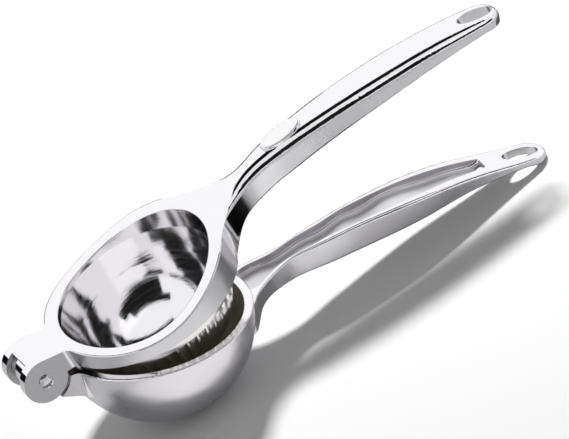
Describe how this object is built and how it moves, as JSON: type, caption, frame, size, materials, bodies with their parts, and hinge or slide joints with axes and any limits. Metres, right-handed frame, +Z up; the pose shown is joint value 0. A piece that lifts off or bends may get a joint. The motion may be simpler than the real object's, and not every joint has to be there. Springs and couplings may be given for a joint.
{
  "type": "citrus juicer",
  "caption": "Hand-held citrus juicer: two long levers hinged at one end, with a fluted press cup that closes into a drained bowl.",
  "frame": {"origin": "on the table under the middle of the whole juicer, which lies open as pictured on its bowl and on the tip of the bowl lever", "axes": "+X from the hinge towards the grips, +Y to the left seen from the hinge, +Z up"},
  "size_m": [0.2296, 0.0776, 0.0774],
  "materials": {
    "satin_cast_metal": "satin",
    "polished_cast_metal": "polished",
    "pin_steel": "satin",
    "bright_plate": "polished"
  },
  "bodies": {
    "bowl_body": {"bowl_lever": "satin_cast_metal"},
    "press_body": {"press_lever": "polished_cast_metal", "hinge_pin": "pin_steel", "badge": "bright_plate"}
  },
  "joints": [
    {"name": "jaw_hinge", "type": "hinge", "parent": "bowl_body", "child": "press_body", "pos_m": [-0.10583, 0, 0.04994], "axis": [0, -1, 0], "range_deg": [-13.8, 131.2]}
  ]
}
